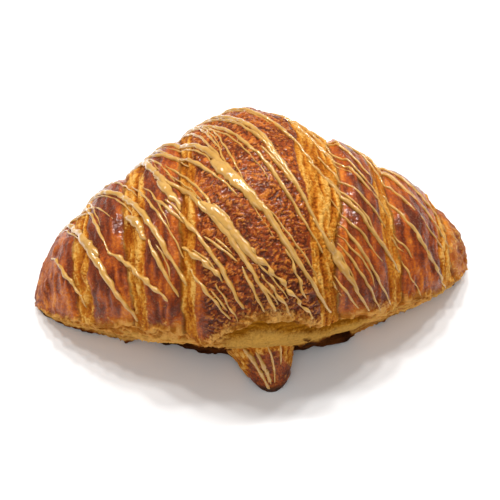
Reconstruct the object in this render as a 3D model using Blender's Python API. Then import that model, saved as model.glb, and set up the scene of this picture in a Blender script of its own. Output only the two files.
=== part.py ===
"""A baked croissant with coffee icing drizzled over it. Units are metres and +Z is up.

The origin is at the middle of the underside, X runs along the roll, and -Y is its front, where the
tip of the dough comes out from under the roll. The bread is one body, because it bakes into one
piece. Each strand of icing lies on its crust as a body of its own.
"""

import math
from collections import namedtuple

import bmesh
import bpy
from mathutils import Vector

MM = 0.001
DEGREE = math.pi / 180

# The roll. A power says how a size falls toward the ends: 1 is a tent, 2 a rounded arch.
LENGTH = 165 * MM
ROLL_Y = -1.5 * MM  # the roll sits this far forward, which centres the box round roll and tongue
HEIGHT = 65 * MM
BACK_DEPTH = 51 * MM
FRONT_DEPTH = 46 * MM
BASE_DEPTH = 36 * MM  # how far forward the bottom layer of dough reaches
RIGHT_HEIGHT_POWER = 1.42
LEFT_HEIGHT_POWER = 1.54
BACK_POWER = 1.3
FRONT_POWER = 1.7
BASE_POWER = 1.5
BLUNT_END = 0.26  # the share of the height and depth that the two ends keep
END_POWER = 12
EQUATOR = 0.42  # the height of the widest line, as a share of the height
BELLY = 1.12  # how far the round back would reach below the widest line before it is cut flat
UNDERSIDE_POWER = 0.62  # below 1, the underside of the back is squarer than an ellipse
BASE_HEIGHT = 8.5 * MM
BASE_EDGE = 4 * MM  # how far the bottom layer stands out from the waist above it
WALL_SHARE = 0.42  # the share of the front's lower quarter turn that is wall
EDGE_SHARE = 0.66  # and where the bottom layer's edge ends
BASE_MIDDLE_SHARE = 0.55  # the most that the bottom layer takes of the height of the widest line
BASE_EDGE_GROWTH = 1.5  # how fast its edge grows from the ends of the roll
BASE_EDGE_LEAST = 0.2

# The wraps of dough: the top of each crest, the edge of its glazed crust, and the foot of the band
# of cut layers below that edge, at the front of the roll and again at its top
Wrap = namedtuple("Wrap", "crest edge foot top_edge top_foot")
RIGHT_WRAPS = (
    Wrap(0 * MM, 15 * MM, 23 * MM, 15 * MM, 30 * MM),
    Wrap(32 * MM, 40 * MM, 47 * MM, 41 * MM, 48 * MM),
    Wrap(56 * MM, 63 * MM, 71 * MM, 65 * MM, 71 * MM),
)
LEFT_WRAPS = (
    Wrap(0 * MM, 23 * MM, 28 * MM, 19 * MM, 25 * MM),
    Wrap(31 * MM, 39 * MM, 45 * MM, 37 * MM, 45 * MM),
    Wrap(51 * MM, 57 * MM, 63 * MM, 57 * MM, 64 * MM),
)
STEP = 1.35 * MM  # the height of a crest over the middle surface, and the depth of a foot under it
EDGE_STEP_SHARE = 0.6
WRAPS_END = LENGTH / 2 + 15 * MM  # where the last wrap would level out, past the end of the roll
LEFT_STEP_SHARE = 0.75
WALL_STEP_SHARE = 0.25
WALL_FADE = 10 * DEGREE
BAND_LOW_ANGLE = 20 * DEGREE  # where the bands start to lean from their front to their top places
BAND_HIGH_ANGLE = 110 * DEGREE

# The tip of the dough: a tongue that comes out under the front and slopes down to the table
TONGUE_BACK = 22 * MM
TONGUE_TIP = 51 * MM
TONGUE_X = -5 * MM
TONGUE_TIP_X = 0.5 * MM
TONGUE_HALF_WIDTH = 13.5 * MM
TONGUE_NARROWING = 0.3  # the share of its run after which it gets narrower
TONGUE_TIP_SHARE = 0.55  # the share of the width that is left near the tip
TONGUE_HEIGHT = 25 * MM
TONGUE_FALL = 4.5  # the higher this power, the steeper the tongue falls near its tip
TONGUE_THICKNESS = 4 * MM
TONGUE_CENTRE = 0.35  # the height of the tongue's middle, as a share of its thickness
TONGUE_CLEARANCE = 0.5 * MM
TONGUE_ROUNDNESS = 0.4  # 0.5 would be an ellipse seen from above, and less is squarer

# The icing
ICING_THICKNESS = 1.0 * MM
ICING_GAP = 0.5 * MM
ICING_PITCH = 2.4 * MM  # the distance between two cross-sections of a strand
ICING_SHOULDER = 0.5  # the width of a strand's top, as a share of its foot
ICING_END_SHARE = 0.35  # the width and height of a strand's two ends, as a share of its middle
ROUTE_SLACK = 1.15  # how much longer a route over the round crust is than a straight line
AHEAD_SHARE = 0.01  # the share of a route that is looked ahead for its direction

# Each strand runs from the back or the top of the roll to its front. A place on the crust is its
# distance along the roll in millimetres and its angle around it in degrees: 0 at the front, 90 at
# the top. The width is in millimetres too.
Strand = namedtuple("Strand", "start_x start_angle end_x end_angle width")
STRANDS = (
    Strand(-73, 96, -64, 30, 1.6),
    Strand(-64, 108, -46, 12, 2.8),
    Strand(-56, 122, -32, 36, 2.6),
    Strand(-41, 126, -28, 70, 2.6),
    Strand(-51, 54, -33, 20, 1.8),
    Strand(-25, 76, -10, 18, 2.4),
    Strand(-24, 94, -3, 22, 2.8),
    Strand(-20, 104, 17, 14, 3.2),
    Strand(-15, 110, 17, 44, 2.0),
    Strand(-12, 122, 18, 56, 2.0),
    Strand(-6, 122, 18, 70, 2.2),
    Strand(-25, 46, -18, 30, 2.0),
    Strand(21, 96, 42, 68, 1.6),
    Strand(21, 78, 46, 28, 2.4),
    Strand(22, 62, 39, 8, 2.0),
    Strand(18, 44, 31, 6, 2.8),
    Strand(32, 101, 45, 77, 1.6),
    Strand(46, 96, 70, 58, 1.6),
    Strand(46, 78, 66, 50, 1.6),
    Strand(48, 62, 64, 14, 2.0),
)

# The mesh of the roll
RINGS = 84
RING_POINTS = 48
SHARP_ANGLE = 50 * DEGREE
RING_EVENNESS = 0.55  # 1 spreads the rings evenly along the roll, and 0 crowds them at its ends
TONGUE_RINGS = 20
TONGUE_POINTS = 16


def mix(low, high, share):
    return low + (high - low) * share


def smooth(share):
    """0 to 1 with no corner at either end."""
    share = min(max(share, 0.0), 1.0)
    return share * share * (3 - 2 * share)


def clear_scene():
    for thing in list(bpy.data.objects):
        bpy.data.objects.remove(thing, do_unlink=True)


def make_material(name, color, roughness):
    material = bpy.data.materials.new(name)
    material.use_nodes = True
    shader = material.node_tree.nodes["Principled BSDF"]
    shader.inputs["Base Color"].default_value = (*color, 1.0)
    shader.inputs["Roughness"].default_value = roughness
    shader.inputs["Metallic"].default_value = 0.0
    return material


def taper(along, power):
    """How much of the height or depth is left at a place along the roll, from -1 to 1."""
    dome = math.sqrt(max(0.0, 1 - abs(along) ** END_POWER))
    return mix(1 - abs(along) ** power, dome, BLUNT_END)


def wrap_relief(x, angle):
    """The rise of the wraps' crests and the fall of the feet between them."""
    wraps = RIGHT_WRAPS if x > 0 else LEFT_WRAPS
    up = smooth((angle - BAND_LOW_ANGLE) / (BAND_HIGH_ANGLE - BAND_LOW_ANGLE))
    stations = []
    for wrap in wraps:
        edge = mix(wrap.edge, wrap.top_edge, up)
        foot = mix(wrap.foot, wrap.top_foot, up)
        stations += [(wrap.crest, 1), (edge, EDGE_STEP_SHARE), (foot, -1)]
    stations.append((WRAPS_END, 0))
    for (start, low), (end, high) in zip(stations, stations[1:]):
        if start <= abs(x) <= end:
            return mix(low, high, smooth((abs(x) - start) / (end - start)))
    return 0.0


def front_under(depth, reach, middle, angle):
    """The lower half of the front: the wall draws in, then the bottom layer stands out again."""
    share = -angle / (90 * DEGREE)
    high = min(BASE_HEIGHT, BASE_MIDDLE_SHARE * middle)
    waist = reach - BASE_EDGE * min(max(BASE_EDGE_GROWTH * reach / BASE_DEPTH, BASE_EDGE_LEAST), 1)
    if share < WALL_SHARE:
        turn = share / WALL_SHARE * 90 * DEGREE
        return waist + (depth - waist) * math.cos(turn), middle - (middle - high) * math.sin(turn)
    if share < EDGE_SHARE:
        turn = 90 * DEGREE - (share - WALL_SHARE) / (EDGE_SHARE - WALL_SHARE) * 180 * DEGREE
        return waist + (reach - waist) * math.cos(turn), high / 2 * (1 + math.sin(turn))
    return waist * (1 - share) / (1 - EDGE_SHARE), 0.0


def crust_point(x, angle):
    """The point of the crust at a distance along the roll and an angle around it."""
    along = x / (LENGTH / 2)
    top = HEIGHT * taper(along, RIGHT_HEIGHT_POWER if x > 0 else LEFT_HEIGHT_POWER)
    back = BACK_DEPTH * taper(along, BACK_POWER)
    front = FRONT_DEPTH * taper(along, FRONT_POWER)
    reach = BASE_DEPTH * taper(along, BASE_POWER)
    middle = EQUATOR * top
    rise = math.sin(angle)
    forward = math.cos(angle)
    step = STEP * wrap_relief(x, angle) * max(taper(along, BACK_POWER), 0) ** 0.5
    if x < 0:
        step *= LEFT_STEP_SHARE
    if rise >= 0:
        outward = forward * (front if forward > 0 else back)
        z = middle + (top - middle) * rise + step * rise
    elif forward > 0:
        outward, z = front_under(front, reach, middle, angle)
        step *= mix(1, WALL_STEP_SHARE, smooth(-angle / WALL_FADE))
    else:
        outward = -back * abs(forward) ** UNDERSIDE_POWER
        z = middle * (1 + BELLY * rise)
    return Vector((x, ROLL_Y - outward - step * forward, max(z, 0.0)))


def crust_normal(x, angle):
    """The direction away from the crust, found from two short steps along its surface."""
    nudge = 0.5 * MM
    turn = 1.0 * DEGREE
    along = crust_point(x + nudge, angle) - crust_point(x - nudge, angle)
    around = crust_point(x, angle + turn) - crust_point(x, angle - turn)
    return along.cross(around).normalized()


def new_object(name, mesh, material):
    mesh.materials.append(material)
    mesh.shade_smooth()
    mesh.set_sharp_from_angle(angle=SHARP_ANGLE)
    thing = bpy.data.objects.new(name, mesh)
    bpy.context.collection.objects.link(thing)
    return thing


def sphere_mesh(name, rings, ring_points, place):
    """A sphere with its poles on X, whose points are moved to where the place function says."""
    shape = bmesh.new()
    bmesh.ops.create_uvsphere(shape, u_segments=ring_points, v_segments=rings, radius=1.0)
    for vert in shape.verts:
        latitude = math.asin(min(max(vert.co.z, -1.0), 1.0))
        angle = math.atan2(vert.co.y, vert.co.x)
        vert.co = place(latitude, angle)
    bmesh.ops.triangulate(shape, faces=shape.faces)
    bmesh.ops.recalc_face_normals(shape, faces=shape.faces)
    mesh = bpy.data.meshes.new(name)
    shape.to_mesh(mesh)
    shape.free()
    return mesh


def roll_place(latitude, angle):
    """A sphere's latitude becomes the distance along the roll, spread evenly over its middle."""
    share = mix(math.sin(latitude), latitude / (90 * DEGREE), RING_EVENNESS)
    return crust_point(share * LENGTH / 2, angle)


def tongue_place(latitude, angle):
    """The tip of the dough: it runs forward and down, and narrows toward its round end."""
    share = (math.sin(latitude) + 1) / 2
    size = math.cos(latitude) ** TONGUE_ROUNDNESS
    narrowing = smooth((share - TONGUE_NARROWING) / (1 - TONGUE_NARROWING))
    half_width = TONGUE_HALF_WIDTH * mix(1, TONGUE_TIP_SHARE, narrowing)
    high = TONGUE_HEIGHT * (1 - share ** TONGUE_FALL) + TONGUE_THICKNESS
    x = mix(TONGUE_X, TONGUE_TIP_X, share) + half_width * size * math.cos(angle)
    z = high * (TONGUE_CENTRE + (1 - TONGUE_CENTRE) * size * math.sin(angle))
    return Vector((x, -mix(TONGUE_BACK, TONGUE_TIP, share), max(z, TONGUE_CLEARANCE)))


def add_croissant(material):
    roll_mesh = sphere_mesh("croissant", RINGS, RING_POINTS, roll_place)
    roll = new_object("croissant", roll_mesh, material)
    tongue_mesh = sphere_mesh("tongue", TONGUE_RINGS, TONGUE_POINTS, tongue_place)
    tongue = new_object("tongue", tongue_mesh, material)
    tongue.hide_render = True
    tongue.display_type = "WIRE"
    join = roll.modifiers.new("Join the tongue", "BOOLEAN")
    join.operation = "UNION"
    join.solver = "EXACT"
    join.object = tongue


def strand_sections(strand):
    """The cross-sections of a strand, each with two feet on the crust and two shoulders."""
    start = crust_point(strand.start_x * MM, strand.start_angle * DEGREE)
    end = crust_point(strand.end_x * MM, strand.end_angle * DEGREE)
    count = math.ceil(ROUTE_SLACK * (end - start).length / ICING_PITCH)
    x_turn = (strand.end_x - strand.start_x) * MM
    angle_turn = (strand.end_angle - strand.start_angle) * DEGREE
    sections = []
    for index in range(count + 1):
        share = index / count
        x = strand.start_x * MM + share * x_turn
        angle = strand.start_angle * DEGREE + share * angle_turn
        here = crust_point(x, angle)
        ahead = crust_point(x + AHEAD_SHARE * x_turn, angle + AHEAD_SHARE * angle_turn) - here
        out = crust_normal(x, angle)
        side = out.cross(ahead).normalized()
        swell = mix(ICING_END_SHARE, 1.0, math.sqrt(max(0.0, math.sin(math.pi * share))))
        half_width = strand.width * MM / 2 * swell
        low = here + out * ICING_GAP
        high = here + out * (ICING_GAP + ICING_THICKNESS * swell)
        sections.append((
            low - side * half_width,
            low + side * half_width,
            high + side * half_width * ICING_SHOULDER,
            high - side * half_width * ICING_SHOULDER,
        ))
    return sections


def add_strand(name, strand, material):
    shape = bmesh.new()
    rings = [[shape.verts.new(point) for point in section] for section in strand_sections(strand)]
    for ring, following in zip(rings, rings[1:]):
        for index in range(4):
            beside = (index + 1) % 4
            shape.faces.new((ring[index], ring[beside], following[beside], following[index]))
    shape.faces.new(reversed(rings[0]))
    shape.faces.new(rings[-1])
    bmesh.ops.triangulate(shape, faces=shape.faces)
    bmesh.ops.recalc_face_normals(shape, faces=shape.faces)
    mesh = bpy.data.meshes.new(name)
    shape.to_mesh(mesh)
    shape.free()
    new_object(name, mesh, material)


def main():
    clear_scene()
    crust = make_material("baked crust", (0.40, 0.16, 0.04), 0.45)
    icing = make_material("coffee icing", (0.62, 0.34, 0.10), 0.25)
    add_croissant(crust)
    for number, strand in enumerate(STRANDS, start=1):
        add_strand(f"icing_strand_{number:02d}", strand, icing)


main()
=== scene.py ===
"""The looks of a baked croissant with coffee icing, around its CAD frame. Metres, +Z up."""

import math
from collections import namedtuple

import bpy
import numpy as np
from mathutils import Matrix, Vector


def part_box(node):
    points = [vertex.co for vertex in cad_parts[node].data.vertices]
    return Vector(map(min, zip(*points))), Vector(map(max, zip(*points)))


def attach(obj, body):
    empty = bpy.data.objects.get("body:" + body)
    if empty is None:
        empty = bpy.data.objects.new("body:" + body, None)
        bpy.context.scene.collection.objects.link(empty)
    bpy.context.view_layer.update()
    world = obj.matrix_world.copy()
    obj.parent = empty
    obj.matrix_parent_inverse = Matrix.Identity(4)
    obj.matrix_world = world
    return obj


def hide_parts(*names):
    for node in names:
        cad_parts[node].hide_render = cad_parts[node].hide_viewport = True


MM = 0.001
DEGREE = math.pi / 180

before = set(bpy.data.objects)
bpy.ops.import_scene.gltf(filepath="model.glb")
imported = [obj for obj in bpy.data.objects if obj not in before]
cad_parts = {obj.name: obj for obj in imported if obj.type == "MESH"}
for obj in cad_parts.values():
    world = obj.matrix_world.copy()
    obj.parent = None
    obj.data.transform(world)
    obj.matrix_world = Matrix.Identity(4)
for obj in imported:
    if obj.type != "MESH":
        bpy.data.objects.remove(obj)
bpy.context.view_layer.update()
ROLL_LOW, ROLL_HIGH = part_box("croissant")

# The roll, as in the CAD. A power says how a size falls toward the ends: 1 is a tent, 2 an arch.
LENGTH = ROLL_HIGH.x - ROLL_LOW.x
ROLL_Y = -1.5 * MM  # the roll sits this far forward, which centres the box round roll and tongue
HEIGHT = 65 * MM
BACK_DEPTH = 51 * MM
FRONT_DEPTH = 46 * MM
BASE_DEPTH = 36 * MM  # how far forward the bottom layer of dough reaches
RIGHT_HEIGHT_POWER = 1.42
LEFT_HEIGHT_POWER = 1.54
BACK_POWER = 1.3
FRONT_POWER = 1.7
BASE_POWER = 1.5
BLUNT_END = 0.26  # the share of the height and depth that the two ends keep
END_POWER = 12
EQUATOR = 0.42  # the height of the widest line, as a share of the height
BELLY = 1.12  # how far the round back would reach below the widest line before it is cut flat
UNDERSIDE_POWER = 0.62  # below 1, the underside of the back is squarer than an ellipse
BASE_HEIGHT = 8.5 * MM
BASE_MIDDLE_SHARE = 0.55  # the most that the bottom layer takes of the height of the widest line
BASE_EDGE = 4 * MM  # how far the bottom layer stands out from the waist above it
BASE_EDGE_GROWTH = 1.5  # how fast its edge grows from the ends of the roll
BASE_EDGE_LEAST = 0.2
WALL_SHARE = 0.42  # the share of the front's lower quarter turn that is wall
EDGE_SHARE = 0.66  # and where the bottom layer's edge ends

# The wraps of dough: the top of each crest, the edge of its glazed crust, and the foot of the band
# of cut layers below that edge, at the front of the roll and again at its top
Wrap = namedtuple("Wrap", "crest edge foot top_edge top_foot")
RIGHT_WRAPS = (
    Wrap(0 * MM, 15 * MM, 23 * MM, 15 * MM, 30 * MM),
    Wrap(32 * MM, 40 * MM, 47 * MM, 41 * MM, 48 * MM),
    Wrap(56 * MM, 63 * MM, 71 * MM, 65 * MM, 71 * MM),
)
LEFT_WRAPS = (
    Wrap(0 * MM, 23 * MM, 28 * MM, 19 * MM, 25 * MM),
    Wrap(31 * MM, 39 * MM, 45 * MM, 37 * MM, 45 * MM),
    Wrap(51 * MM, 57 * MM, 63 * MM, 57 * MM, 64 * MM),
)
STEP = 1.35 * MM  # the height of a crest over the middle surface
LEFT_STEP_SHARE = 0.75
WRAPS_END = LENGTH / 2 + 15 * MM  # where the last wrap would level out, past the end of the roll
BAND_LOW_ANGLE = 20 * DEGREE  # where the bands start to lean from their front to their top places
BAND_HIGH_ANGLE = 110 * DEGREE

# The tip of the dough: a tongue that comes out under the front and slopes down to the table
TONGUE_BACK = 22 * MM
TONGUE_TIP = 51 * MM
TONGUE_X = -5 * MM
TONGUE_TIP_X = 0.5 * MM
TONGUE_HALF_WIDTH = 13.5 * MM
TONGUE_NARROWING = 0.3  # the share of its run after which it gets narrower
TONGUE_TIP_SHARE = 0.55  # the share of the width that is left near the tip
TONGUE_BLUNTNESS = 9  # the higher this power, the blunter the tip
TONGUE_HEIGHT = 25 * MM
TONGUE_FALL = 4.5  # the higher this power, the steeper the tongue falls near its tip
TONGUE_THICKNESS = 4 * MM
TONGUE_CENTRE = 0.35  # the height of the tongue's middle, as a share of its thickness
TONGUE_SQUARENESS = 0.8  # below 1, its cross-section is squarer than an ellipse

# Relief of the crust, in millimetres
LUMP_HEIGHT = 0.6
LIP_HEIGHT = 0.9
HOLLOW_DEPTH = 1.0
CRUMB_DEPTH = 2.0
TOAST_HEIGHT = 0.9
STREAK_HEIGHT = 0.5
GLAZE_STREAK_HEIGHT = 0.22
SOFT_STREAK_HEIGHT = 0.34
FOLD_HEIGHT = 0.8
CURL_HEIGHT = 0.3
FLAKE_HEIGHT = 1.0
LAYER_HEIGHT = 0.5
CRUMB_LAYER_HEIGHT = 0.15
PORE_DEPTH = 0.25
HOLE_DEPTH = 0.45
FLAT_BELOW = 0.3
MM_PER_DEGREE = 0.8  # about how far apart two places on the crust are that are a degree apart
RIGHT_END_GOLD = 0.45  # how much of the right end's glaze is golden like the bands

# The two grids: their points along and around, and how thinly the crust's far sides are covered
COLUMNS = 430
ROWS = 500
TONGUE_COLUMNS = 90
TONGUE_ROWS = 120
END_CROWDING = 0.3
BACK_FROM = 125
BACK_DENSITY = 0.5
UNDERSIDE_TO = -55
UNDERSIDE_DENSITY = 0.25


# ---------------------------------------------------------------- small helpers on arrays

OCTAVE_SHIFT = 7.3
CELL_JITTER = 0.8


def mix(low, high, share):
    return low + (high - low) * share


def ramp(value, low, high):
    """0 below low, 1 above high, and smooth between them."""
    share = np.clip((value - low) / (high - low), 0, 1)
    return share * share * (3 - 2 * share)


def lattice(cell, seed):
    """A fixed random number from 0 to 1 for each whole-numbered cell, by hashing its three numbers."""
    x, y, z = (cell[..., axis].astype(np.int64) for axis in range(3))
    mixed = (x * 73856093) ^ (y * 19349663) ^ (z * 83492791) ^ (seed * 2654435761)
    mixed = (mixed ^ (mixed >> 13)) * 1274126177 & 0xFFFFFFFF
    mixed = (mixed ^ (mixed >> 16)) * 2246822519 & 0xFFFFFFFF
    return ((mixed >> 7) & 0xFFFF) / 65535.0


def noise(points, seed):
    """Smooth value noise from -1 to 1, with features one unit apart."""
    base = np.floor(points)
    share = points - base
    share = share * share * (3 - 2 * share)
    total = 0.0
    for dx in (0, 1):
        for dy in (0, 1):
            for dz in (0, 1):
                weight = 1.0
                for axis, step in enumerate((dx, dy, dz)):
                    weight = weight * (share[..., axis] if step else 1 - share[..., axis])
                total = total + weight * lattice(base + (dx, dy, dz), seed)
    return total * 2 - 1


def fractal(points, octaves, seed):
    """Layers of noise, each half the size and strength of the one before."""
    total = 0.0
    size = 1.0
    for octave in range(octaves):
        total = total + size * noise(points * 2 ** octave + OCTAVE_SHIFT * octave, seed + octave)
        size *= 0.5
    return total


def cells(points, seed):
    """The distance to the nearest of a scatter of points one unit apart."""
    base = np.floor(points)
    nearest = np.full(points.shape[:-1], np.inf)
    for dx in (-1, 0, 1):
        for dy in (-1, 0, 1):
            for dz in (-1, 0, 1):
                cell = base + (dx, dy, dz)
                gap = np.zeros(points.shape[:-1])
                for axis in range(3):
                    spot = cell[..., axis] + 0.5 + CELL_JITTER * (lattice(cell, seed + axis) - 0.5)
                    gap += (spot - points[..., axis]) ** 2
                nearest = np.minimum(nearest, np.sqrt(gap))
    return nearest


def bump_at(value, centre, width):
    """1 at the centre, and less away from it on both sides."""
    return np.exp(-((value - centre) / width) ** 2)


def stack(*parts):
    """Arrays as the parts of one array of points or of quads."""
    return np.stack(np.broadcast_arrays(*parts), -1)


# ---------------------------------------------------------------- the shape of the roll

def taper(along, power):
    """How much of the height or depth is left at a place along the roll, from -1 to 1."""
    dome = np.sqrt(np.clip(1 - np.abs(along) ** END_POWER, 0, 1))
    return mix(1 - np.abs(along) ** power, dome, BLUNT_END)


def back_under(depth, middle, angle):
    """The lower half of the back: a squarish quarter round, cut flat by the tray."""
    rise = np.sin(angle)
    outward = np.abs(np.cos(angle)) ** UNDERSIDE_POWER
    return depth * outward, middle * (1 + BELLY * rise)


def front_under(depth, reach, middle, angle):
    """The lower half of the front: the wall draws in, then the bottom layer stands out again."""
    share = np.clip(-angle / (90 * DEGREE), 0, 1)
    high = np.minimum(BASE_HEIGHT, BASE_MIDDLE_SHARE * middle)
    waist = reach - BASE_EDGE * np.clip(BASE_EDGE_GROWTH * reach / BASE_DEPTH, BASE_EDGE_LEAST, 1)
    turn = np.clip(share / WALL_SHARE, 0, 1) * math.pi / 2
    wall_y = waist + (depth - waist) * np.cos(turn)
    wall_z = middle - (middle - high) * np.sin(turn)
    swing = math.pi / 2 - np.clip((share - WALL_SHARE) / (EDGE_SHARE - WALL_SHARE), 0, 1) * math.pi
    edge_y = waist + (reach - waist) * np.cos(swing)
    edge_z = high / 2 * (1 + np.sin(swing))
    flat_y = waist * np.clip((1 - share) / (1 - EDGE_SHARE), 0, 1)
    on_wall = share < WALL_SHARE
    on_edge = share < EDGE_SHARE
    y = np.where(on_wall, wall_y, np.where(on_edge, edge_y, flat_y))
    z = np.where(on_wall, wall_z, np.where(on_edge, edge_z, 0.0))
    return y, z


def base_reach(x):
    """How far forward the bottom layer reaches: it is drawn in on the left and stands out on the right."""
    along = x / MM
    dent = 3.0 * bump_at(along, -33, 9)
    bulge = 3.0 * bump_at(along, 32, 15)
    wave = noise(stack(along / 6, 0.5, 0.5), 5)
    return (BASE_DEPTH + (bulge - dent + wave) * MM) * taper(x / (LENGTH / 2), BASE_POWER)


def roll_point(x, angle):
    """The smooth roll, without its wraps. The angle runs from -180 to 180 degrees."""
    along = x / (LENGTH / 2)
    power = np.where(x > 0, RIGHT_HEIGHT_POWER, LEFT_HEIGHT_POWER)
    top = HEIGHT * taper(along, power)
    back = BACK_DEPTH * taper(along, BACK_POWER)
    front = FRONT_DEPTH * taper(along, FRONT_POWER)
    reach = base_reach(x)
    middle = EQUATOR * top
    forward = np.cos(angle)
    is_front = forward > 0
    above = np.sin(angle) >= 0
    back_y, back_z = back_under(back, middle, angle)
    front_y, front_z = front_under(front, reach, middle, angle)
    upper_y = -forward * np.where(is_front, front, back)
    upper_z = middle + (top - middle) * np.sin(angle)
    y = np.where(above, upper_y, np.where(is_front, -front_y, back_y))
    z = np.where(above, upper_z, np.where(is_front, front_z, back_z))
    return stack(x, y + ROLL_Y, np.maximum(z, 0))


def grid_normals(points):
    """The outward direction at each point of a grid."""
    along = np.gradient(points, axis=0)
    around = np.gradient(points, axis=1)
    normal = np.cross(along, around)
    return normal / np.maximum(np.linalg.norm(normal, axis=-1, keepdims=True), 1e-12)


def wrap_fields(out, turned, right):
    """The rise of the wraps' crests and fall of their feet, and the bands of cut layers."""
    height = np.zeros_like(out)
    band = np.zeros_like(out)
    up = ramp(turned, BAND_LOW_ANGLE, BAND_HIGH_ANGLE)
    for wraps, side in ((RIGHT_WRAPS, right), (LEFT_WRAPS, ~right)):
        stations = [(-1 * MM, 1.0)]
        for wrap in wraps:
            edge = mix(wrap.edge, wrap.top_edge, up)
            foot = mix(wrap.foot, wrap.top_foot, up)
            stations += [
                (wrap.crest, 1.0),
                (edge - 1 * MM, 0.85),
                (edge + 0.6 * MM, 0.5),
                (foot - 1.5 * MM, -0.7),
                (foot, -1.25),
                (foot + 2 * MM, -0.1),
            ]
            mask = ramp(out, edge - 0.5 * MM, edge + 0.5 * MM)
            mask = mask * (1 - ramp(out, foot - 0.3 * MM, foot + 0.6 * MM))
            band = np.where(side, np.maximum(band, mask), band)
        stations.append((WRAPS_END, 0.0))
        here = np.zeros_like(out)
        for (start, low), (end, high) in zip(stations, stations[1:]):
            inside = (out >= start) & (out < end)
            here = np.where(inside, mix(low, high, ramp(out, start, end)), here)
        height = np.where(side, here, height)
    return height, band


def crust_grid():
    """Places along and around the roll, closer together on the front and the top."""
    latitude = np.linspace(-math.pi / 2, math.pi / 2, COLUMNS)
    share = mix(latitude / (math.pi / 2), np.sin(latitude), END_CROWDING)
    degrees = np.linspace(-180, 180, 721)
    density = np.where(degrees < BACK_FROM, 1.0, BACK_DENSITY)
    density = np.where(degrees < UNDERSIDE_TO, UNDERSIDE_DENSITY, density)
    turned = np.concatenate(([0], np.cumsum((density[1:] + density[:-1]) / 2)))
    rows = np.interp(np.arange(ROWS) / ROWS, turned / turned[-1], degrees * DEGREE)
    return np.meshgrid(share * LENGTH / 2, rows, indexing="ij")


def lip_angle(x):
    """How far up the front the glazed crust ends, in degrees."""
    along = x / MM
    return 8 + 6 * bump_at(along, -2, 9) - 9 * bump_at(along, -22, 6) - 4 * bump_at(along, 21, 5)


def swirled(place, size, seed):
    """Places pushed about, so that noise read at them winds and folds."""
    return place + size * stack(*(noise(place / (2 * size), seed + axis) for axis in range(3)))


def on_table(points, place):
    """The points, with the bottom of the dough pressed flat by the tray."""
    points[place[..., 2] < FLAT_BELOW, 2] = 0
    points[..., 2] = np.maximum(points[..., 2], 0.0)
    return points


Front = namedtuple("Front", "below wall opened toasted crumb flank toast rim")


def front_zones(along, degrees, place, lumps):
    """Masks of what lies below the ragged lip where the glazed crust ends at the front.

    It is open crumb in the middle, golden edges of layers beside it, and the toasted bottom layer, whose
    dark colour is partly painted shade.
    The toast goes on over the underside.
    """
    is_front = (degrees > -90) & (degrees < 60)
    ragged = 2.4 * fractal(place / 7, 3, 81) + 1.3 * noise(place / 1.6, 84)
    below = np.where(is_front, lip_angle(along * MM) + ragged - degrees, -90.0)
    wall = ramp(below, 0, 2)
    opened = ramp(along + 3 * lumps, -17, -11) * (1 - ramp(along, 30, 38))
    # Beside the tongue, under the overhanging front, the dark bottom layer reaches higher: partly toasted
    # dough, partly painted shade
    shaded_toast_zone = ramp(along, -40, -22) * (1 - ramp(along, 18, 36)) * (1 - bump_at(along, -3, 9))
    toast_start = mix(62, 17, shaded_toast_zone) + 8 * noise(place / 4, 88) + 3 * noise(place / 1.5, 89)
    toasted = ramp(below, toast_start, toast_start + 5)
    underside = np.where(degrees < -90, 1 - ramp(-degrees, 150, 172), 0.0)
    flank = wall * (1 - opened) * (1 - toasted)
    lip = ramp(below, -10, -1) * (1 - wall)
    return Front(
        below=below,
        wall=wall,
        opened=opened,
        toasted=toasted,
        crumb=wall * opened * (1 - toasted),
        flank=flank,
        toast=np.maximum(wall * toasted, underside),
        rim=np.maximum(lip, flank),
    )


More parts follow.
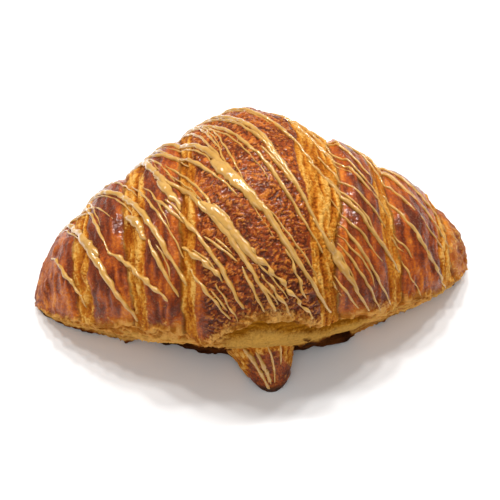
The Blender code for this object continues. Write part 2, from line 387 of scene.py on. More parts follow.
def crust_shape(x, angle):
    """The finished crust, the same without its fine relief, and the masks its material reads."""
    smooth = roll_point(x, angle)
    normal = grid_normals(smooth)
    place = smooth / MM
    along = x / MM
    degrees = angle / DEGREE
    on_right = x > 0
    scale = np.sqrt(np.clip(taper(x / (LENGTH / 2), BACK_POWER), 0, 1))
    lumps = fractal(place / 13, 3, 41)

    # The wraps, and their bands with wandering edges
    warp = 1.3 * MM * fractal(place / 16, 2, 11) + 0.5 * MM * fractal(place / 4, 2, 12)
    out = np.abs(x) + warp * ramp(np.abs(x), 0, 12 * MM)
    out_mm = out / MM
    turned = np.where(degrees < -90, 180 * DEGREE, angle)
    height, band = wrap_fields(out, turned, on_right)
    golden_end = RIGHT_END_GOLD * ramp(np.where(on_right, out_mm, 0.0), 65, 70)
    front = front_zones(along, degrees, place, lumps)
    band = np.maximum(band, golden_end)
    glaze = (1 - band) * (1 - front.wall)
    band = band * (1 - front.wall)
    centre = 1 - np.where(on_right, ramp(out_mm, 13, 16), ramp(out_mm, 19, 22))
    broad_band = band * np.where(on_right, 1 - ramp(out_mm, 32, 36), 0.0)
    ends = ramp(np.abs(along), 66, 78)

    # Large relief: the wraps, lumps, the thick lip and the hollow below it
    step = STEP / MM * np.where(on_right, 1.0, LEFT_STEP_SHARE)
    hollow = HOLLOW_DEPTH + CRUMB_DEPTH * front.opened * bump_at(front.below, 8, 6)
    coarse = step * height * scale * (1 - 0.75 * front.wall) + LUMP_HEIGHT * lumps
    coarse = coarse + LIP_HEIGHT * front.rim * (1 - front.wall) * scale
    coarse = coarse - hollow * front.wall * (1 - front.toasted) * scale
    clumps = np.where(degrees > -90, TOAST_HEIGHT * fractal(place / 3.5, 2, 86), 0.0)
    coarse = coarse + front.toast * clumps

    # Textures: streaks along the bands, layers, folds and curls, flakes, and two sizes of pores
    arc = np.abs(degrees) * MM_PER_DEGREE
    side_key = np.where(on_right, 9.0, 0.0)
    streaks = fractal(stack(out_mm / 1.1, arc / 9, side_key), 3, 21)
    soft_streaks = fractal(stack(out_mm / 3.0, arc / 22, side_key), 2, 31)
    layers = fractal(stack(place[..., 0] / 11, place[..., 2] / 1.1 + lumps, place[..., 1] / 11), 3, 91)
    swirl = swirled(place, 1.2, 51)
    folds = np.abs(noise(swirl / (1.3, 1.05, 1.05), 61))
    small_folds = np.abs(noise(swirl, 62))
    flakes = np.abs(noise(swirl / 2.6, 64))
    # Painted shade and highlight: the creases between the folds are coloured dark, and the crests of the
    # folds and the thin curls golden
    crease_shade = 1 - ramp(folds, 0, 0.2)
    curl_highlights = (1 - ramp(small_folds, 0, 0.17)) * (1 - crease_shade)
    crest = np.maximum(0.7 * ramp(folds, 0.25, 0.6), curl_highlights)
    pores = 1 - ramp(cells(swirled(place, 0.5, 55), 71), 0.15, 0.42)
    airy = ramp(fractal(place / 8, 2, 77), -0.2, 0.5)
    holes = (1 - ramp(cells(swirl / 2.3, 75), 0.1, 0.32)) * airy
    crinkle = np.maximum(mix(0.22, 1.0, centre) * (1 - band), 0.4 * front.rim)
    crinkle = np.maximum(crinkle, 0.35 * band + 0.35 * broad_band)

    # Fine relief
    fine = band * (STREAK_HEIGHT * streaks - PORE_DEPTH * pores - HOLE_DEPTH * holes)
    furrows = SOFT_STREAK_HEIGHT * soft_streaks + GLAZE_STREAK_HEIGHT * streaks
    fine = fine + glaze * (1 - centre) * furrows
    wrinkles = FOLD_HEIGHT * np.sqrt(folds) - CURL_HEIGHT * (1 + np.sqrt(small_folds))
    fine = fine + (glaze + front.flank + band) * crinkle * wrinkles
    fine = fine + FLAKE_HEIGHT * front.rim * (0.45 - np.sqrt(flakes))
    layer_height = mix(LAYER_HEIGHT, CRUMB_LAYER_HEIGHT, front.opened)
    fine = fine + front.wall * (layer_height * layers - PORE_DEPTH * pores)
    coarse_points = smooth + normal * (coarse * MM)[..., None]
    points = on_table(coarse_points + normal * (fine * MM)[..., None], place)

    # How dark the glaze is: a baked tone that differs at random, with painted shade low on the middle wrap
    # and painted light on its top
    tone = 0.54 + 0.2 * lumps + 0.15 * height + 0.22 * soft_streaks * (1 - centre)
    tone = tone + 0.06 * centre + 0.16 * centre * (1 - ramp(degrees, 35, 80))
    tone = tone - 0.12 * centre * ramp(degrees, 55, 90) + 0.04 * ends
    pale_layers = front.flank * ramp(front.below, 5, 9) * np.clip(0.5 + layers, 0, 1)
    masks = {
        "band": band * np.clip(0.85 + 0.5 * fractal(place / 9, 2, 33), 0, 1),
        "streak": streaks,
        # painted light and shade along the streaks of the glaze
        "groove_light_and_shade": glaze * (1 - centre) * (1 - front.rim),
        "gloss": glaze * (1 - front.rim) * (1 - 0.85 * ends) * (1 - 0.25 * centre),
        "crinkle": crinkle,
        # painted shade in the creases, painted highlight on the crests and curls
        "crease_shade": crease_shade * crinkle,
        "crest": crest * crinkle,
        # painted shade in the pores and holes
        "pore_shade": np.maximum(0.6 * pores, holes),
        # painted shade: darker brown in the clefts at the feet of the wraps
        "cleft_shade": (1 - ramp(height, -1.2, -0.7)) * scale * (1 - front.wall),
        "crumb": front.crumb,
        # painted light: the crumb paler low in the hollow, away from the lip's shade; the pale layer edges
        # on the flanks are their own colour
        "lit_ledge_and_pale_layers": front.crumb * ramp(front.below, 9, 16) + pale_layers,
        "toast": front.toast,
        "rim": front.rim,
        "tone": tone,
        "layer": layers,
        "flake": 1 - ramp(flakes, 0, 0.35),
    }
    return points, coarse_points, masks


def tongue_grid():
    """Places along the tongue, from inside the roll to its tip, and around it."""
    share = np.sin(np.linspace(0, math.pi / 2, TONGUE_COLUMNS))
    rows = np.linspace(-180, 180, TONGUE_ROWS, endpoint=False) * DEGREE
    return np.meshgrid(mix(TONGUE_BACK, TONGUE_TIP, share), rows, indexing="ij")


def tongue_point(share, reach, angle, tip):
    """The smooth tongue. It narrows toward its tip, and falls to the table."""
    narrowing = ramp(share, TONGUE_NARROWING, 1.0)
    half_width = TONGUE_HALF_WIDTH * mix(1.0, TONGUE_TIP_SHARE, narrowing) * tip
    high = TONGUE_HEIGHT * (1 - share ** TONGUE_FALL) + TONGUE_THICKNESS * tip
    side = np.cos(angle)
    rise = np.sin(angle)
    x = mix(TONGUE_X, TONGUE_TIP_X, share) - half_width * np.sign(side) * np.abs(side) ** TONGUE_SQUARENESS
    flattened = np.where(rise > 0, rise, 0.55 * rise)
    z = high * (TONGUE_CENTRE + (1 - TONGUE_CENTRE) * flattened)
    return stack(x, -reach, np.maximum(z, 0))


def tongue_shape(reach, angle):
    """The same for the tongue: golden where it was covered, and glazed at its tip."""
    share = (reach - TONGUE_BACK) / (TONGUE_TIP - TONGUE_BACK)
    tip = np.sqrt(np.clip(1 - share ** TONGUE_BLUNTNESS, 0, 1))
    smooth = tongue_point(share, reach, angle, tip)
    normal = grid_normals(smooth)
    place = smooth / MM
    lumps = fractal(place / 6, 2, 141)
    folds = np.abs(noise(swirled(place, 1.2, 151) / 1.4, 161))
    streaks = fractal(stack(place[..., 0] / 1.1, place[..., 1] / 9, place[..., 2] / 1.1), 3, 121)
    pores = 1 - ramp(cells(place / 1.3, 171), 0.15, 0.42)
    golden = 1 - ramp(reach / MM + 1.2 * lumps, 45.3, 47.3)
    glazed_relief = 0.5 * np.sqrt(folds) - 0.3 + 0.2 * streaks
    golden_relief = 0.3 * streaks - 0.35 * pores
    fine = mix(glazed_relief, golden_relief, golden)
    coarse_points = smooth + normal * (0.5 * MM * lumps * tip)[..., None]
    points = on_table(coarse_points + normal * (fine * MM * tip)[..., None], place)
    low = 1 - ramp(place[..., 2], 1.5, 4)
    none = np.zeros_like(share)
    masks = {
        "band": golden * (1 - low),
        "streak": streaks,
        "groove_light_and_shade": none + 0.4,
        "gloss": 0.6 * (1 - golden),
        "crinkle": none + 0.7,
        # painted shade in the creases and painted highlight on the crests, as on the roll
        "crease_shade": 0.8 * (1 - ramp(folds, 0, 0.2)),
        "crest": 0.5 * ramp(folds, 0.25, 0.6),
        "pore_shade": pores,
        "cleft_shade": none,
        "crumb": none,
        "lit_ledge_and_pale_layers": none,
        "toast": low,
        "rim": none,
        "tone": 0.75 + 0.2 * lumps,
        "layer": streaks,
        "flake": none,
    }
    return points, coarse_points, masks


def grid_mesh(name, grids):
    """One mesh from closed grids of points, each with its masks."""
    vertices = []
    faces = []
    start = 0
    for points, masks in grids:
        columns, rows = points.shape[:2]
        index = start + np.arange(columns * rows).reshape(columns, rows)
        following = np.roll(index, -1, 1)
        quads = stack(index[:-1], index[1:], following[1:], following[:-1]).reshape(-1, 4)
        faces += quads.tolist()
        vertices.append(points.reshape(-1, 3))
        start += columns * rows
    mesh = bpy.data.meshes.new(name)
    mesh.from_pydata(np.concatenate(vertices), [], faces)
    for key in grids[0][1]:
        values = np.concatenate([masks[key].reshape(-1) for points, masks in grids])
        layer = mesh.attributes.new(key, "FLOAT", "POINT")
        layer.data.foreach_set("value", values.astype(np.float32))
    mesh.shade_smooth()
    mesh.update()
    return mesh


def add_object(name, mesh, material):
    thing = bpy.data.objects.new(name, mesh)
    mesh.materials.append(material)
    bpy.context.collection.objects.link(thing)
    return thing


# ---------------------------------------------------------------- the icing

# Each strand runs from the back or the top of the roll down its front. A place on the crust is its
# distance along the roll in millimetres and its angle around it in degrees: 0 at the front, 90 at
# the top. The width and the sideways bow of the strand's middle are in millimetres.
Strand = namedtuple("Strand", "start_x start_angle end_x end_angle width bow beads", defaults=(0.15,))
STRANDS = (
    # over the middle of the roll, from its right to its left
    Strand(-19, 168, 20, 90, 1.7, 0.5),
    Strand(-23, 162, 19, 52, 2.2, 2),
    Strand(2, 93, 11, 74, 1.4, 0),
    Strand(-30, 166, 18, 54, 1.3, 3),
    Strand(-31, 158, 18, 44, 1.5, 2),
    Strand(-17, 138, -3, 68, 0.9, 0),
    Strand(-25, 156, -7, 74, 1.0, 1),
    Strand(-31, 160, -8, 78, 1.2, 1),
    Strand(-38, 148, 20, 12, 2.6, 2, 0.1),
    Strand(-14, 92, -6, 72, 4.2, 0.5),
    Strand(-9, 80, 0, 62, 3.0, 0),
    Strand(-44, 138, -7, 70, 1.6, 1),
    Strand(-30, 104, -12, 59, 1.1, 1),
    Strand(-33, 98, 1, 18, 2.0, 3),
    Strand(-19, 72, -8, 52, 3.4, 0.5),
    Strand(-12, 60, -3, 40, 3.0, 0),
    Strand(-9, 53, 13, 12, 1.6, 1, 0.6),
    Strand(-30, 80, -8, 20, 1.6, 1),
    Strand(-19, 56, -9, 42, 1.0, 0),
    Strand(-8, 40, -2, 18, 1.2, 0),
    Strand(-3, 36, 6, 15, 1.2, 0.5, 0.4),
    Strand(6, 46, 11, 22, 1.2, 0, 0.4),
    Strand(-27, 54, -14, 34, 1.9, 1, 0.4),
    Strand(-25, 43, -13, 15, 1.2, 0, 0.3),
    Strand(-17, 34, -10, 14, 0.8, 0, 0.4),
    Strand(2, 62, 16, 30, 0.9, 1),
    # over the left-hand wraps
    Strand(-50, 170, -26, 72, 2.8, 1),
    Strand(-32, 94, -26, 74, 3.4, 0),
    Strand(-44, 154, -27, 90, 1.1, 0),
    Strand(-44, 164, -22, 94, 1.3, 0),
    Strand(-42, 104, -26, 48, 1.1, 1),
    Strand(-34, 84, -25, 65, 1.3, 0),
    Strand(-65, 150, -26, 34, 2.5, 3),
    Strand(-44, 82, -37, 62, 3.4, 0.5),
    Strand(-37, 62, -29, 28, 1.4, 0.5),
    Strand(-51, 64, -31, 27, 1.8, 0, 0.4),
    Strand(-71, 148, -43, 13, 2.6, -2),
    Strand(-62, 92, -54, 62, 3.7, -0.5),
    Strand(-62, 138, -50, 60, 1.3, 0),
    Strand(-73, 94, -60, 24, 1.4, 0, 0.3),
    Strand(-72, 146, -48, 84, 0.9, 1),
    Strand(-57, 154, -40, 92, 0.9, 1),
    # over the right-hand wraps
    Strand(14, 162, 40, 94, 1.0, 0),
    Strand(10, 158, 41, 80, 1.1, 0),
    Strand(5, 148, 46, 67, 1.1, 0),
    Strand(22, 97, 42, 61, 1.1, 0),
    Strand(18, 92, 47, 32, 1.5, 1),
    Strand(22, 74, 39, 40, 0.9, 0),
    Strand(25, 60, 41, 11, 1.2, 2),
    Strand(24, 50, 37, 9, 1.1, 1.5),
    Strand(16, 60, 33, 11, 1.9, 1),
    Strand(21, 50, 27, 30, 3.6, 0),
    Strand(22, 33, 29, 13, 1.2, 0),
    Strand(32, 138, 66, 50, 1.0, 0),
    Strand(31, 154, 72, 54, 1.1, 1),
    Strand(45, 86, 66, 6, 1.4, 2, 0.3),
    Strand(46, 59, 52, 42, 0.8, 0),
    Strand(48, 44, 54, 11, 0.9, 0, 0.3),
    Strand(40, 146, 76, 70, 0.9, 1),
    Strand(50, 70, 62, 30, 0.7, 1),
)
# The same on the tongue, with the distance from the middle of the roll to the front in place of x
TONGUE_STRANDS = (
    Strand(43, 34, 50.6, 62, 2.0, 0, 0.2),
    Strand(45, 60, 50.8, 84, 1.6, 0, 0.2),
    Strand(43, 84, 50.4, 100, 0.9, 0),
    Strand(43, 112, 48.5, 120, 0.8, 0),
)
ICING_STEP = 0.6 * MM  # the distance between two cross-sections of a strand
ICING_SINK = 0.35 * MM  # how deep a strand reaches into the crust
ICING_LEAST_WIDTH = 0.1 * MM
CROWN_STEEPNESS = 0.55  # the height of a thin strand, as a share of its width
CROWN_BASE = 0.6 * MM  # the height of a wide strand is this, and a share of its width
CROWN_GROWTH = 0.16
ICING_PROFILE = 9  # the points across the top of a cross-section
ROUTE_POINTS = 200
CAP_LENGTH = 0.8  # how long the round end of a strand is, in millimetres
END_SHARE = 0.5  # the width that is left at a strand's two ends, before they are rounded

# A thin thread beside every other strand: its width, how far to the left and right of the strand it
# lies in turn, and between which shares of the strand's length it runs
THREAD_WIDTH = 0.8
THREAD_SHIFTS = (-2.4, 2.2)
THREAD_START = 0.12
THREAD_END = 0.72
THREAD_CLOSING = 0.6  # the share of its shift that is left at its end


class Crust:
    """The crust as a surface that can be read at any place along and around the roll."""

    def __init__(self, x, angle, points):
        self.stations = x[:, 0]
        self.turns = np.append(angle[0], angle[0, 0] + 2 * math.pi)
        self.points = points
        self.normals = grid_normals(points)

    def read(self, grid, x, angle):
        column = np.interp(x, self.stations, np.arange(len(self.stations)))
        row = np.interp(angle, self.turns, np.arange(len(self.turns)))
        low_column = np.clip(np.floor(column).astype(int), 0, len(self.stations) - 2)
        low_row = np.floor(row).astype(int)
        across = (column - low_column)[..., None]
        around = (row - low_row)[..., None]
        rows = grid.shape[1]
        total = 0
        for step_column, weight in ((0, 1 - across), (1, across)):
            for step_row, share in ((0, 1 - around), (1, around)):
                corner = grid[low_column + step_column, (low_row + step_row) % rows]
                total = total + weight * share * corner
        return total

    def point(self, x, angle):
        return self.read(self.points, x, angle)

    def normal(self, x, angle):
        found = self.read(self.normals, x, angle)
        return found / np.linalg.norm(found, axis=-1, keepdims=True)


def with_threads(strands):
    """The strands, and a thin thread of icing beside every other one."""
    threads = []
    for number, strand in enumerate(strands[::2]):
        shift = THREAD_SHIFTS[number % 2]
        threads.append(Strand(
            mix(strand.start_x, strand.end_x, THREAD_START) + shift,
            mix(strand.start_angle, strand.end_angle, THREAD_START),
            mix(strand.start_x, strand.end_x, THREAD_END) + THREAD_CLOSING * shift,
            mix(strand.start_angle, strand.end_angle, THREAD_END),
            THREAD_WIDTH,
            strand.bow,
        ))
    return (*strands, *threads)


def strand_width(strand, run, key):
    """How wide a strand is at each place of its run: it flows unevenly, and gathers in beads."""
    left = run[-1] - run
    flow = 1 + 0.32 * noise(stack(run / 5, 3.5, key), 9) + 0.14 * noise(stack(run / 2.0, 3.5, key), 10)
    swell = 0.5 + 0.5 * np.sin(2 * math.pi * run / 4.6 + 3 * noise(stack(run / 7, 6.5, key), 11))
    flow = flow + strand.beads * (1.7 * swell ** 1.5 - 0.7)
    begin = mix(END_SHARE, 1.0, ramp(run, 0, 0.3 * run[-1]))
    finish = mix(END_SHARE, 1.0, ramp(left, 0, 0.35 * run[-1]))
    caps = np.sqrt(np.clip(run / CAP_LENGTH, 0, 1)) * np.sqrt(np.clip(left / CAP_LENGTH, 0, 1))
    return np.maximum(strand.width * MM * flow * begin * finish * caps, ICING_LEAST_WIDTH)


def strand_route(strand, crust, seed):
    """Evenly spaced places down a strand, and how wide it is at each."""
    share = np.linspace(0, 1, ROUTE_POINTS)
    x = mix(strand.start_x, strand.end_x, share) + strand.bow * np.sin(math.pi * share)
    angle = mix(strand.start_angle, strand.end_angle, share)
    points = crust.point(x * MM, angle * DEGREE)
    steps = np.linalg.norm(np.diff(points, axis=0), axis=1)
    length = np.concatenate(([0], np.cumsum(steps)))
    count = max(12, int(length[-1] / ICING_STEP))
    even = np.interp(np.linspace(0, length[-1], count), length, share)
    run = np.linspace(0, length[-1], count) / MM
    key = seed * 1.7
    x = np.interp(even, share, x) + 0.6 * noise(stack(run / 6.5, 0.5, key), 7)
    x = x + 0.12 * noise(stack(run / 2.2, 0.5, key), 8)
    x = x + 0.8 * strand.beads * np.sin(2 * math.pi * run / 7 + key)
    angle = np.interp(even, share, angle)
    return x * MM, angle * DEGREE, strand_width(strand, run, key)


def strand_rings(strand, crust, seed):
    """The cross-sections of a strand: a low arch over the crust, and two points sunk into it."""
    x, angle, width = strand_route(strand, crust, seed)
    here = crust.point(x, angle)
    normal = crust.normal(x, angle)
    ahead = np.gradient(here, axis=0)
    side = np.cross(normal, ahead)
    side = side / np.linalg.norm(side, axis=-1, keepdims=True)
    nudge = 0.2 * MM
    x_rate = (crust.point(x + nudge, angle) - here) / nudge
    angle_rate = (crust.point(x, angle + DEGREE) - here) / DEGREE
    crown = np.minimum(CROWN_STEEPNESS * width, CROWN_BASE + CROWN_GROWTH * width)
    rings = []
    for across in np.linspace(-1, 1, ICING_PROFILE):
        shift = side * (across * width / 2)[:, None]
        slide = (shift * x_rate).sum(-1) / (x_rate ** 2).sum(-1)
        turn = (shift * angle_rate).sum(-1) / (angle_rate ** 2).sum(-1)
        foot = crust.point(x + slide, angle + turn)
        arch = math.sqrt(max(0, 1 - across * across))
        lift = crown * arch - 0.5 * ICING_SINK * abs(across) ** 4
        rings.append(foot + normal * lift[:, None])
    sunk = here - normal * ICING_SINK
    rings.append(sunk + side * (width / 4)[:, None])
    rings.append(sunk - side * (width / 4)[:, None])
    return np.stack(rings, 1)


def icing_mesh(name, drizzles):
    """One mesh of every strand, from pairs of a surface and the strands that lie on it."""
    vertices = []
    faces = []
    start = 0
    for surface, strands in drizzles:
        for seed, strand in enumerate(strands):
            points = strand_rings(strand, surface, seed)
            count, ring = points.shape[:2]
            index = start + np.arange(count * ring).reshape(count, ring)
            following = np.roll(index, -1, 1)
            quads = stack(index[:-1], following[:-1], following[1:], index[1:]).reshape(-1, 4)
            faces += quads.tolist()
            faces += [index[0][::-1].tolist(), index[-1].tolist()]
            vertices.append(points.reshape(-1, 3))
            start += count * ring
    mesh = bpy.data.meshes.new(name)
    mesh.from_pydata(np.concatenate(vertices), [], faces)
    mesh.shade_smooth()
    return mesh


# ---------------------------------------------------------------- materials

def color(red, green, blue):
    """A colour given as it looks on a screen, from 0 to 255, as the linear light it stands for."""
    linear = []
    for value in (red, green, blue):
        share = value / 255
        linear.append(share / 12.92 if share <= 0.04045 else ((share + 0.055) / 1.055) ** 2.4)
    return (*linear, 1.0)


class Nodes:
    """Short names for building a material's node tree."""

    def __init__(self, name):
        self.material = bpy.data.materials.new(name)
        self.material.use_nodes = True
        self.tree = self.material.node_tree
        self.shader = self.tree.nodes["Principled BSDF"]
        self.object_place = self.tree.nodes.new("ShaderNodeTexCoord").outputs["Object"]

    def link(self, source, target):
        self.tree.links.new(source, target)

    def attribute(self, name):
        node = self.tree.nodes.new("ShaderNodeAttribute")
        node.attribute_name = name
        return node.outputs["Fac"]

    def noise(self, size, detail):
        node = self.tree.nodes.new("ShaderNodeTexNoise")
        node.inputs["Scale"].default_value = 1 / size
        node.inputs["Detail"].default_value = detail
        node.inputs["Roughness"].default_value = 0.6
        self.link(self.object_place, node.inputs["Vector"])
        return node.outputs["Fac"]

    def ridges(self, size, distortion, half_width):
        """Thin winding lines: 0 along them, and 1 between them."""
        node = self.tree.nodes.new("ShaderNodeTexNoise")
        node.inputs["Scale"].default_value = 1 / size
        node.inputs["Detail"].default_value = 0.6
        node.inputs["Distortion"].default_value = distortion
        self.link(self.object_place, node.inputs["Vector"])
        away = self.math("ABSOLUTE", self.add(node.outputs["Fac"], -0.5), 0)
        return self.remap(away, 0, half_width, 0, 1)

    def math(self, operation, first, second):
        node = self.tree.nodes.new("ShaderNodeMath")
        node.operation = operation
        for socket, value in zip(node.inputs, (first, second)):
            if isinstance(value, (int, float)):
                socket.default_value = value
            else:
                self.link(value, socket)
        return node.outputs[0]

    def add(self, first, second):
        return self.math("ADD", first, second)

    def times(self, first, second):
        return self.math("MULTIPLY", first, second)

    def remap(self, value, low, high, new_low, new_high):
        node = self.tree.nodes.new("ShaderNodeMapRange")
        self.link(value, node.inputs["Value"])
        node.inputs["From Min"].default_value = low
        node.inputs["From Max"].default_value = high
        node.inputs["To Min"].default_value = new_low
        node.inputs["To Max"].default_value = new_high
        return node.outputs["Result"]

    def ramp(self, value, *stops):
        node = self.tree.nodes.new("ShaderNodeValToRGB")
        elements = node.color_ramp.elements
        for index, (position, shade) in enumerate(stops):
            element = elements[index] if index < 2 else elements.new(position)
            element.position = position
            element.color = shade
        self.link(value, node.inputs["Fac"])
        return node.outputs["Color"]

    def blend(self, first, second, share):
        node = self.tree.nodes.new("ShaderNodeMix")
        node.data_type = "RGBA"
        sockets = {socket.identifier: socket for socket in node.inputs}
        for key, value in (("A_Color", first), ("B_Color", second), ("Factor_Float", share)):
            if isinstance(value, (int, float, tuple)):
                sockets[key].default_value = value
            else:
                self.link(value, sockets[key])
        return {socket.identifier: socket for socket in node.outputs}["Result_Color"]

    def bump(self, height, distance):
        node = self.tree.nodes.new("ShaderNodeBump")
        node.inputs["Distance"].default_value = distance
        node.inputs["Strength"].default_value = 1.0
        self.link(height, node.inputs["Height"])
        self.link(node.outputs["Normal"], self.shader.inputs["Normal"])


class CrustNodes(Nodes):
    """The crust's nodes, with the noises that several of its parts share."""

    def __init__(self):
        super().__init__("crust")
        self.fine = self.noise(0.9 * MM, detail=5)
        self.broad = self.noise(9 * MM, detail=3)
        self.grain = self.noise(0.35 * MM, detail=3)
        self.wrinkles = self.ridges(3.0 * MM, 0.8, 0.09)
        self.specks = self.remap(self.fine, 0.3, 0.7, -0.5, 0.5)
        self.layer_lines = self.remap(self.attribute("layer"), -0.7, 0.7, 0.0, 1.0)

    def speckled(self, value, amount):
        return self.add(value, self.times(self.specks, amount))

    def cover(self, shade, over, name, amount, low, high, most):
        """A colour laid over another where a mask is, with specks along the mask's edge."""
        share = self.remap(self.speckled(self.attribute(name), amount), low, high, 0, most)
        return self.blend(shade, over, share)


def glaze_color(nodes):
    """Egg-washed crust, from light to dark, with golden ridges as painted highlight and dark creases as
    painted shade.
    """
    tone = nodes.add(nodes.attribute("tone"), nodes.remap(nodes.broad, 0.3, 0.7, -0.25, 0.25))
    tone = nodes.speckled(tone, 0.5)
    # painted light and shade: the glaze is lighter on the ridges of its streaks and darker in their
    # furrows
    lines = nodes.remap(nodes.attribute("streak"), -0.8, 0.8, 0.3, -0.3)
    tone = nodes.add(tone, nodes.times(nodes.attribute("groove_light_and_shade"), lines))
    glaze = nodes.ramp(
        tone,
        (0.0, color(212, 130, 40)),
        (0.35, color(176, 88, 18)),
        (0.65, color(136, 56, 10)),
        (1.0, color(90, 30, 4)),
    )
    # painted highlight: golden crests and curls; painted shade: dark creases
    glaze = nodes.cover(glaze, color(236, 150, 54), "crest", 0.6, 0.3, 1.0, 0.7)
    glaze = nodes.cover(glaze, color(70, 22, 3), "crease_shade", 0.5, 0.2, 0.8, 0.9)
    # painted shade along the valleys of the fine wrinkles
    valley_shade = nodes.times(nodes.attribute("crinkle"), nodes.remap(nodes.wrinkles, 0, 0.6, 0.3, 0))
    return nodes.blend(glaze, color(84, 28, 6), valley_shade)


def band_color(nodes):
    """The golden bands of cut layers between the wraps, with their pores painted darker as shade."""
    gold = nodes.speckled(nodes.remap(nodes.attribute("streak"), -0.8, 0.8, 0.08, 0.98), 0.7)
    band = nodes.ramp(
        gold,
        (0.0, color(128, 58, 10)),
        (0.3, color(176, 98, 24)),
        (0.65, color(204, 134, 44)),
        (1.0, color(232, 178, 90)),
    )
    return nodes.cover(band, color(150, 78, 16), "pore_shade", 0.4, 0.4, 1.0, 0.5)


def shaded_crumb_color(nodes):
    """The open crumb in the hollow below the lip, coloured dark as painted shade of the lip over it."""
    return nodes.ramp(
        nodes.add(nodes.speckled(nodes.times(nodes.layer_lines, 0.5), 0.6), 0.25),
        (0.0, color(104, 58, 4)),
        (0.5, color(144, 87, 12)),
        (1.0, color(180, 120, 30)),
    )


def toast_and_shade_color(nodes):
    """The toasted bottom layer and underside, near black at its darkest: partly toasted dough, partly
    painted shade under the roll.
    """
    return nodes.ramp(
        nodes.add(nodes.times(nodes.layer_lines, 0.5), nodes.remap(nodes.broad, 0.3, 0.7, 0, 0.4)),
        (0.0, color(20, 6, 1)),
        (0.5, color(62, 28, 6)),
        (1.0, color(104, 54, 16)),
    )


def rim_color(nodes):
    """The flaky golden lip, with pale edges to its flakes."""
    rim = nodes.ramp(
        nodes.fine,
        (0.3, color(184, 112, 34)),
        (0.5, color(202, 132, 48)),
        (0.7, color(220, 154, 68)),
    )
    flake = nodes.attribute("flake")
    rim = nodes.blend(rim, color(232, 178, 98), nodes.times(flake, 0.7))
    return nodes.blend(rim, color(120, 62, 12), nodes.remap(flake, 0, 0.3, 0.5, 0))


def crust_material():
    nodes = CrustNodes()
    shade = nodes.cover(glaze_color(nodes), rim_color(nodes), "rim", 0.9, 0.3, 0.9, 0.85)
    shade = nodes.cover(shade, band_color(nodes), "band", 0.7, 0.2, 0.8, 0.95)
    # painted shade at the feet of the wraps
    shade = nodes.cover(shade, color(76, 30, 6), "cleft_shade", 0.5, 0.2, 1.0, 0.7)
    shade = nodes.blend(shade, shaded_crumb_color(nodes), nodes.attribute("crumb"))
    # painted light on the lower crumb, and the pale edges of the layers
    shade = nodes.cover(shade, color(216, 168, 84), "lit_ledge_and_pale_layers", 0.5, 0.2, 1.0, 0.6)
    # toasted dough, darkened further as painted shade
    shade = nodes.blend(shade, toast_and_shade_color(nodes), nodes.attribute("toast"))
    nodes.link(shade, nodes.shader.inputs["Base Color"])

    gloss = nodes.attribute("gloss")
    rough = nodes.speckled(nodes.remap(gloss, 0, 1, 0.52, 0.24), 0.2)
    rough = nodes.add(rough, nodes.times(nodes.attribute("crumb"), 0.4))
    rough = nodes.add(rough, nodes.times(nodes.attribute("toast"), 0.25))
    nodes.link(rough, nodes.shader.inputs["Roughness"])
    nodes.link(nodes.remap(gloss, 0, 1, 0.1, 0.6), nodes.shader.inputs["Specular IOR Level"])
    nodes.link(nodes.times(gloss, 0.38), nodes.shader.inputs["Coat Weight"])
    nodes.shader.inputs["IOR"].default_value = 1.3
    nodes.shader.inputs["Specular Tint"].default_value = color(255, 226, 186)
    nodes.shader.inputs["Coat Roughness"].default_value = 0.13
    nodes.shader.inputs["Coat Tint"].default_value = color(255, 216, 168)
    relief = nodes.add(nodes.fine, nodes.times(nodes.grain, 0.5))
    wrinkled = nodes.times(nodes.attribute("crinkle"), nodes.wrinkles)
    relief = nodes.add(relief, nodes.times(wrinkled, 0.6))
    nodes.bump(relief, 0.35 * MM)
    return nodes.material


def icing_material():
    nodes = Nodes("icing")
    broad = nodes.noise(5 * MM, detail=2)
    shade = nodes.ramp(broad, (0.3, color(186, 135, 54)), (0.7, color(208, 159, 78)))
    nodes.link(shade, nodes.shader.inputs["Base Color"])
    nodes.shader.inputs["Roughness"].default_value = 0.14
    nodes.shader.inputs["Coat Weight"].default_value = 0.8
    nodes.shader.inputs["Coat Roughness"].default_value = 0.05
    nodes.bump(nodes.noise(2.2 * MM, detail=1), 0.3 * MM)
    return nodes.material


# ---------------------------------------------------------------- the set

CAMERA_TARGET = Vector((-1.6 * MM, ROLL_Y, 18.8 * MM))
CAMERA_DISTANCE = 310 * MM
CAMERA_AZIMUTH = -6.7 * DEGREE
CAMERA_ELEVATION = 48 * DEGREE
CAMERA_LENS = 60.9
CEILING_LAMP_PLACES = (-0.36, -0.18, 0.0, 0.18, 0.36)
FLOOR_SIZE = 6


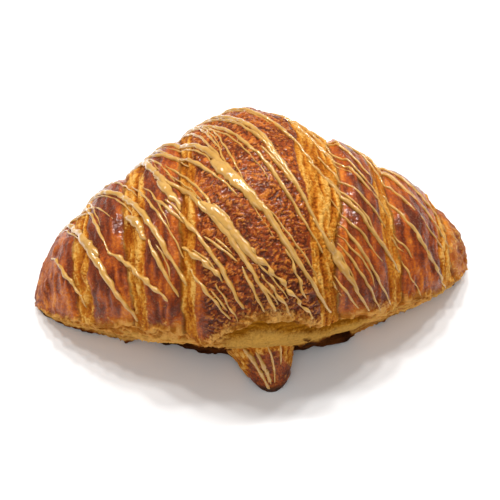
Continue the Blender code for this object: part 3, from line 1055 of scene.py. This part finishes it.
def add_camera():
    back = Vector((
        math.sin(CAMERA_AZIMUTH) * math.cos(CAMERA_ELEVATION),
        -math.cos(CAMERA_AZIMUTH) * math.cos(CAMERA_ELEVATION),
        math.sin(CAMERA_ELEVATION),
    ))
    lens = bpy.data.cameras.new("camera")
    lens.lens = CAMERA_LENS
    lens.sensor_width = 36
    lens.clip_start = 10 * MM
    lens.dof.use_dof = False
    camera = bpy.data.objects.new("camera", lens)
    camera.location = CAMERA_TARGET + back * CAMERA_DISTANCE
    camera.rotation_euler = (-back).to_track_quat("-Z", "Y").to_euler()
    bpy.context.collection.objects.link(camera)
    bpy.context.scene.camera = camera


def add_light(name, location, size, energy):
    lamp = bpy.data.lights.new(name, "AREA")
    lamp.shape = "DISK"
    lamp.size = size
    lamp.energy = energy
    light = bpy.data.objects.new(name, lamp)
    light.location = location
    light.rotation_euler = (-Vector(location)).to_track_quat("-Z", "Y").to_euler()
    bpy.context.collection.objects.link(light)


def add_floor():
    material = bpy.data.materials.new("floor")
    material.use_nodes = True
    shader = material.node_tree.nodes["Principled BSDF"]
    shader.inputs["Base Color"].default_value = (0.95, 0.95, 0.95, 1)
    shader.inputs["Roughness"].default_value = 0.8
    bpy.ops.mesh.primitive_plane_add(size=FLOOR_SIZE)
    floor = bpy.context.object
    floor.name = "floor"
    floor.data.materials.append(material)


def add_world():
    world = bpy.data.worlds.new("studio")
    world.use_nodes = True
    background = world.node_tree.nodes["Background"]
    background.inputs["Color"].default_value = (1, 1, 1, 1)
    background.inputs["Strength"].default_value = 0.4
    bpy.context.scene.world = world


x_grid, angle_grid = crust_grid()
crust_points, crust_smooth, crust_masks = crust_shape(x_grid, angle_grid)
reach_grid, turn_grid = tongue_grid()
tongue_points, tongue_smooth, tongue_masks = tongue_shape(reach_grid, turn_grid)
crust_mesh = grid_mesh("croissant_crust", ((crust_points, crust_masks), (tongue_points, tongue_masks)))
crust = add_object("croissant_crust", crust_mesh, crust_material())
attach(crust, "root")
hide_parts("croissant")

drizzles = (
    (Crust(x_grid, angle_grid, crust_smooth), with_threads(STRANDS)),
    (Crust(reach_grid, turn_grid, tongue_smooth), TONGUE_STRANDS),
)
icing = add_object("icing_drizzle", icing_mesh("icing_drizzle", drizzles), icing_material())
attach(icing, "root")
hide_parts(*(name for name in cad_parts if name.startswith("icing_strand")))

add_camera()
add_floor()
add_world()
bpy.context.scene.view_settings.view_transform = "Standard"
for lamp_x in CEILING_LAMP_PLACES:
    add_light("ceiling_lamp", (lamp_x, 0.2, 0.6), size=0.07, energy=1.05)
add_light("fill", (-0.1, -0.5, 0.6), size=0.6, energy=1.1)
